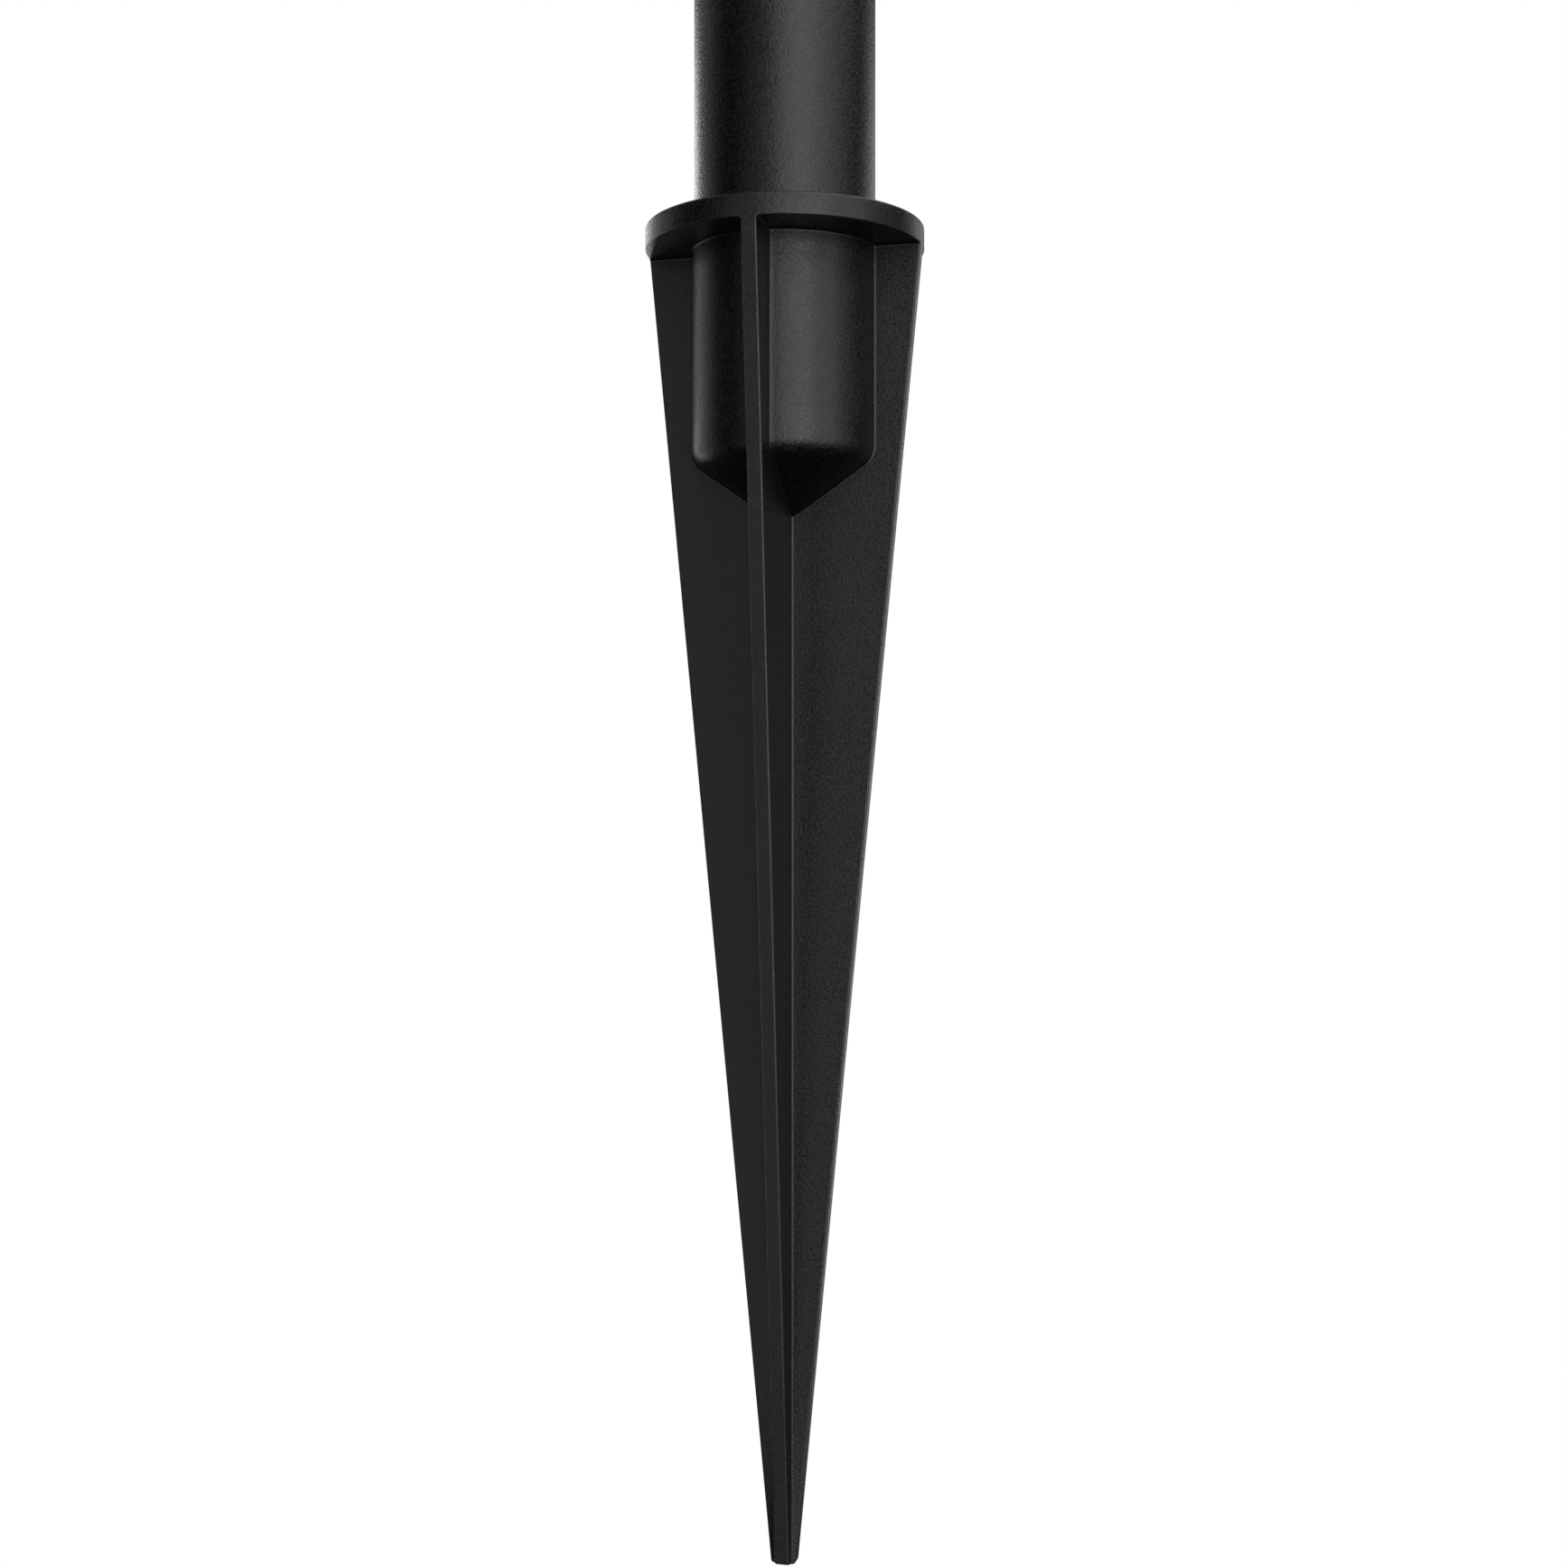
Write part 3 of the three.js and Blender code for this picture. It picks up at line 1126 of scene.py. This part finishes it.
@dataclass
class RetainingScrews:
    """The two button-head screws at the rear of the tube."""

    height: float
    seat: float
    length: float = 6.5 * MM
    first_angle: float = math.radians(45)
    step: float = RIGHT_ANGLE
    head_radius: float = 3.8 * MM
    head_height: float = 2.2 * MM
    head_flank: float = 0.5 * MM
    crown_radius: float = 2.964 * MM
    crown_drop: float = 0.35 * MM
    flat_radius: float = 1.9 * MM
    rim_round: float = 0.12 * MM
    flank_round: float = 0.5 * MM
    crown_round: float = 1.6 * MM
    shank_radius: float = 2.0 * MM
    plain_shank: float = 0.8 * MM
    end_chamfer: float = 0.4 * MM
    thread_depth: float = 0.35 * MM
    thread_pitch: float = 0.7 * MM
    across_flats: float = 2.5 * MM
    recess: float = 1.3 * MM
    recess_edge: Span = (0.05 * MM, 0.06 * MM)
    recess_point: float = 0.35 * MM
    hole_radius: float = 2.3 * MM
    hole_reach: Span = (10.0 * MM, 22.0 * MM)

    COPIES: ClassVar[int] = 2
    SEGMENTS: ClassVar[int] = 72
    THREAD_RINGS: ClassVar[int] = 8
    RECESS_SHARE: ClassVar[float] = 0.55
    BAND_SHARE: ClassVar[float] = 1.4
    HOLE_EDGE: ClassVar[float] = math.radians(50)

    @property
    def hole_band(self) -> Span:
        """Heights just below and above the screws' holes."""
        half = self.hole_radius * self.BAND_SHARE
        return self.height - half, self.height + half

    def _lay(self, reach: float) -> Matrix:
        """What lays a shape that stands on the origin along +X, at the screws' height and at a reach."""
        return Matrix.Translation((reach, 0.0, self.height)) @ Matrix.Rotation(RIGHT_ANGLE, 4, "Y")

    def drill(self, piece: Object, copies: RadialCopies) -> None:
        """Cuts both screws' holes through one side of a piece.

        Args:
            piece: the tube or the spigot.
            copies: the tree that repeats a hole round the piece.
        """
        near, far = self.hole_reach
        radius, depth = self.hole_radius, far - near
        outline = [(0.0, 0.0), (radius, 0.0), (radius, depth), (0.0, depth)]
        drills = turned("drills", outline, self.SEGMENTS, closed=False)
        drills.data.transform(self._lay(near))
        copies.apply(drills, self.COPIES, self.first_angle, self.step, piece.data.materials[0])
        cut = piece.modifiers.new("holes", "BOOLEAN")
        cut.operation = "DIFFERENCE"
        cut.solver = "EXACT"
        cut.object = drills
        settle(piece, cut)
        piece.data.set_sharp_from_angle(angle=self.HOLE_EDGE)
        bpy.data.objects.remove(drills)

    def relief(self, angle: float, radius: float, height: float) -> float:
        """Extra radius of the hexagonal recess and, below zero, of the thread.

        Args:
            angle: angle about the screw's axis.
            radius: radius of the plain profile there.
            height: height above the shank's end.

        Returns:
            What to add to the radius.
        """
        if height > self.length and radius < self.RECESS_SHARE * self.across_flats:
            sixth = math.pi / 3
            within = (angle + sixth / 2) % sixth - sixth / 2
            return radius * (1 / math.cos(within) - 1)
        if radius == self.shank_radius and self.end_chamfer < height < self.length - self.plain_shank:
            turn = (height / self.thread_pitch - angle / (2 * math.pi)) % 1.0
            return -self.thread_depth * abs(2 * turn - 1)
        return 0.0

    def profile(self) -> list[Point]:
        """A screw's outline.

        Returns:
            Radius and height of each point, from the shank's end, over the button head and down the recess.
        """
        shank, flat, top = self.shank_radius, self.across_flats / 2, self.length + self.head_height
        start, end = self.end_chamfer, self.length - self.plain_shank
        rings = int((end - start) / self.thread_pitch * self.THREAD_RINGS)
        outline = [(0.0, 0.0), (shank - self.end_chamfer, 0.0)]
        outline += [(shank, mix(start, end, share)) for share in steps(rings)]
        outline.append((shank, self.length))
        head = rounded([
            (shank, self.length, 0.0),
            (self.head_radius, self.length, self.rim_round),
            (self.head_radius, self.length + self.head_flank, self.flank_round),
            (self.crown_radius, top - self.crown_drop, self.crown_round),
            (self.flat_radius, top, self.crown_round),
            (0.0, top, 0.0),
        ], closed=False)
        floor = top - self.recess
        edge, edge_drop = self.recess_edge
        hollow = [(flat + edge, top), (flat, top - edge_drop), (flat, floor), (flat - edge, floor)]
        return outline + head[1:-1] + hollow + [(0.0, floor - self.recess_point)]

    def build(self, copies: RadialCopies, finish: Finish) -> Object:
        """Builds both screws.

        Args:
            copies: the tree that repeats a screw round the tube.
            finish: their finish.

        Returns:
            The piece, in place of both of the frame's screws.
        """
        screws = turned("rear_screws", self.profile(), self.SEGMENTS, closed=False, relief=self.relief)
        screws.data.transform(self._lay(self.seat - self.length))
        return copies.apply(screws, self.COPIES, self.first_angle, self.step, finish.material())


# --- the studio


@dataclass(frozen=True)
class Panel:
    """A soft rectangular light that faces the object.

    Attributes:
        name: the light's name.
        bearing: degrees to the right of the camera, as the object sees it.
        radiance: brightness of its face.
        elevation: degrees above the object.
        size: width and height.
        distance: distance from the object's middle.
    """

    name: str
    bearing: float
    radiance: float
    elevation: float = 0.0
    size: Span = (0.9, 2.4)
    distance: float = 3.0


def raised_panel(name: str, bearing: float, radiance: float) -> Panel:
    """A square panel that hangs half-way up round the object."""
    return Panel(name, bearing, radiance, elevation=45, size=(1.6, 1.6))


PANELS = (
    Panel("key", 24, 4.0),
    Panel("key_left", 0, 3.0),
    Panel("side_right", 55, 2.35),
    Panel("far_right", 80, 0.45),
    Panel("fill_left", -38, 0.75),
    Panel("rim_left", -115, 0.65),
    Panel("back_left", -135, 1.0),
    Panel("behind", -155, 3.75),
    Panel("back_right", 135, 1.3),
    Panel("behind_right", 155, 0.8),
    Panel("straight_behind", 180, 2.5),
    raised_panel("top_front", 0, 2.1),
    raised_panel("top_key", 38, 3.3),
    raised_panel("top_right", 90, 1.75),
    raised_panel("top_left", -120, 0.8),
    raised_panel("top_behind", 155, 1.2),
    Panel("low_left", -38, 1.2, elevation=-31, size=(0.9, 0.9)),
)


@dataclass
class Studio:
    """The floor, lights, surroundings and camera."""

    centre: Vector
    camera_bearing: float = math.radians(14.24)
    camera_distance: float = 434.0 * MM
    camera_height: float = 168.2 * MM
    camera_aside: float = -0.17 * MM
    camera_dip: float = 0.0014
    focal_length: float = 46.22
    ambient: float = 0.02
    floor_drop: float = 0.2 * MM
    floor_half: float = 30.0
    film_width: float = 36.0
    clip_range: Span = (0.01, 50.0)

    def direction(self, bearing: float, elevation: float) -> Vector:
        """Points from the object into the studio.

        Args:
            bearing: angle to the right of the camera.
            elevation: angle above the object.

        Returns:
            A unit vector.
        """
        turn = self.camera_bearing + bearing
        level = math.cos(elevation)
        return Vector((math.sin(turn) * level, -math.cos(turn) * level, math.sin(elevation)))

    def add_camera(self) -> None:
        """Sets the camera level with the blades, looking at the spike's axis."""
        data = bpy.data.cameras.new("camera")
        data.lens = self.focal_length
        data.sensor_width = self.film_width
        data.clip_start, data.clip_end = self.clip_range
        camera = add_object("camera", data)
        back = self.direction(0.0, 0.0)
        right = Vector((-back.y, back.x, 0.0))
        camera.location = back * self.camera_distance + right * self.camera_aside
        camera.location.z = self.camera_height
        look = Vector((-back.x, -back.y, -self.camera_dip))
        camera.rotation_euler = look.to_track_quat("-Z", "Y").to_euler()
        bpy.context.scene.camera = camera

    def add_panel(self, panel: Panel) -> None:
        """Hangs a panel light that the camera doesn't see.

        Args:
            panel: the panel.
        """
        data = bpy.data.lights.new(panel.name, "AREA")
        data.shape = "RECTANGLE"
        data.size, data.size_y = panel.size
        data.energy = panel.radiance * math.pi * panel.size[0] * panel.size[1]
        light = add_object(panel.name, data)
        away = self.direction(math.radians(panel.bearing), math.radians(panel.elevation))
        light.location = self.centre + away * panel.distance
        light.rotation_euler = (-away).to_track_quat("-Z", "Y").to_euler()
        light.visible_camera = False

    def add_surroundings(self) -> None:
        """Surrounds the object with white for the camera, and with a dim light for everything else."""
        world = bpy.data.worlds.new("surroundings")
        world.use_nodes = True
        canvas = NodeCanvas(world.node_tree)
        felt = canvas.add("ShaderNodeBackground", Color=WHITE, Strength=self.ambient)
        seen = canvas.add("ShaderNodeBackground", Color=WHITE, Strength=1.0)
        by_camera = canvas.add("ShaderNodeLightPath").outputs["Is Camera Ray"]
        light = canvas.choose(by_camera, felt.outputs["Background"], seen.outputs["Background"])
        canvas.add("ShaderNodeOutputWorld", Surface=light)
        bpy.context.scene.world = world

    def add_floor(self) -> Object:
        """Lays a plain white floor just under the tip, clear to a viewer below it.

        Returns:
            The floor, which isn't part of the object.
        """
        size, low = self.floor_half, -self.floor_drop
        corners = [(-size, -size, low), (size, -size, low), (size, size, low), (-size, size, low)]
        floor = mesh_from("floor", corners, [(0, 1, 2, 3)])
        made = bpy.data.materials.new("floor_white")
        made.use_nodes = True
        canvas = NodeCanvas(made.node_tree)
        glow = canvas.add("ShaderNodeEmission", Color=WHITE, Strength=1.0)
        clear = canvas.add("ShaderNodeBsdfTransparent")
        below = canvas.add("ShaderNodeNewGeometry").outputs["Backfacing"]
        surface = canvas.choose(below, glow.outputs["Emission"], clear.outputs["BSDF"])
        canvas.add("ShaderNodeOutputMaterial", Surface=surface)
        floor.data.materials.append(made)
        floor.visible_diffuse = False
        floor.visible_glossy = False
        floor.visible_shadow = False
        return floor

    def build(self, panels: Sequence[Panel]) -> None:
        """Builds the whole studio.

        Args:
            panels: its lights.
        """
        self.add_camera()
        for panel in panels:
            self.add_panel(panel)
        self.add_surroundings()
        self.add_floor()
        bpy.context.scene.view_settings.view_transform = "Standard"


# --- assembly


def fit_out(piece: Object, body: Body, slot: Slot, *nodes: str) -> None:
    """Puts a finished piece on its body, in place of the frame's own nodes, and reports it.

    Args:
        piece: the finished piece.
        body: the body it rides on.
        slot: the material slot meant for it; not used.
        *nodes: the frame's nodes that it stands for.
    """
    # Gives outward edges the value that the black finishes lighten, partly as wear and partly as a painted
    # edge highlight.
    mark_edge_wear_and_highlight(piece)
    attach(piece, body.value)
    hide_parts(*nodes)
    log.info("%s: %d faces on %s, for %s", piece.name, len(piece.data.polygons), body.value, ", ".join(nodes))


def build_spike(copies: RadialCopies) -> None:
    """Builds the spike's moulding.

    Args:
        copies: the tree that repeats its quarter.
    """
    _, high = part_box("ground_spike")
    spike = GroundSpike(rim_radius=high.x, top=high.z)
    fit_out(spike.build(copies, MOULDED_PLASTIC), Body.SPIKE, Slot.SPIKE_PLASTIC, "ground_spike")


def build_seat() -> None:
    """Builds the washer under the tube."""
    low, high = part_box("seat_washer")
    washer = SeatWasher(outer_radius=high.x, foot=low.z, head=high.z)
    fit_out(washer.build(WASHER_RUBBER), Body.SEAT, Slot.RUBBER, "seat_washer")


def build_post(copies: RadialCopies) -> None:
    """Builds the tube, its spigot and ring, and its screws.

    Args:
        copies: the tree that repeats the screws and their holes.
    """
    foot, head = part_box("post_tube")
    low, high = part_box("retaining_screw_right")
    screws = RetainingScrews(height=(low.z + high.z) / 2, seat=head.x + REST_GAP)
    tube = PostTube(radius=head.x, foot=foot.z, head=head.z, hole_band=screws.hole_band).build(POWDER_COAT)
    screws.drill(tube, copies)
    fit_out(tube, Body.POST, Slot.TUBE_COAT, "post_tube")
    low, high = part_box("spigot")
    spigot = Spigot(foot=low.z, head=high.z, shoulder=foot.z + REST_GAP, sleeve_radius=high.x,
                    hole_band=screws.hole_band).build(SPIGOT_BLACK)
    screws.drill(spigot, copies)
    fit_out(spigot, Body.POST, Slot.SPIGOT_PLASTIC, "spigot")
    low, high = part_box("socket_o_ring")
    section = (high.z - low.z) / 2
    ring = SocketRing(middle_radius=high.x - section, section=section, height=(high.z + low.z) / 2)
    fit_out(ring.build(DULL_RUBBER), Body.POST, Slot.RUBBER, "socket_o_ring")
    fit_out(screws.build(copies, SteelFinish()), Body.POST, Slot.SCREW_STEEL, "retaining_screw_left",
            "retaining_screw_right")


def main() -> None:
    """Builds the studio and every piece."""
    logging.basicConfig(level=logging.INFO, format="%(message)s")
    low, high = CAD_BOX
    Studio(centre=Vector((0.0, 0.0, (low.z + high.z) / 2))).build(PANELS)
    copies = RadialCopies()
    build_spike(copies)
    build_seat()
    build_post(copies)


if __name__ == "__main__":
    main()
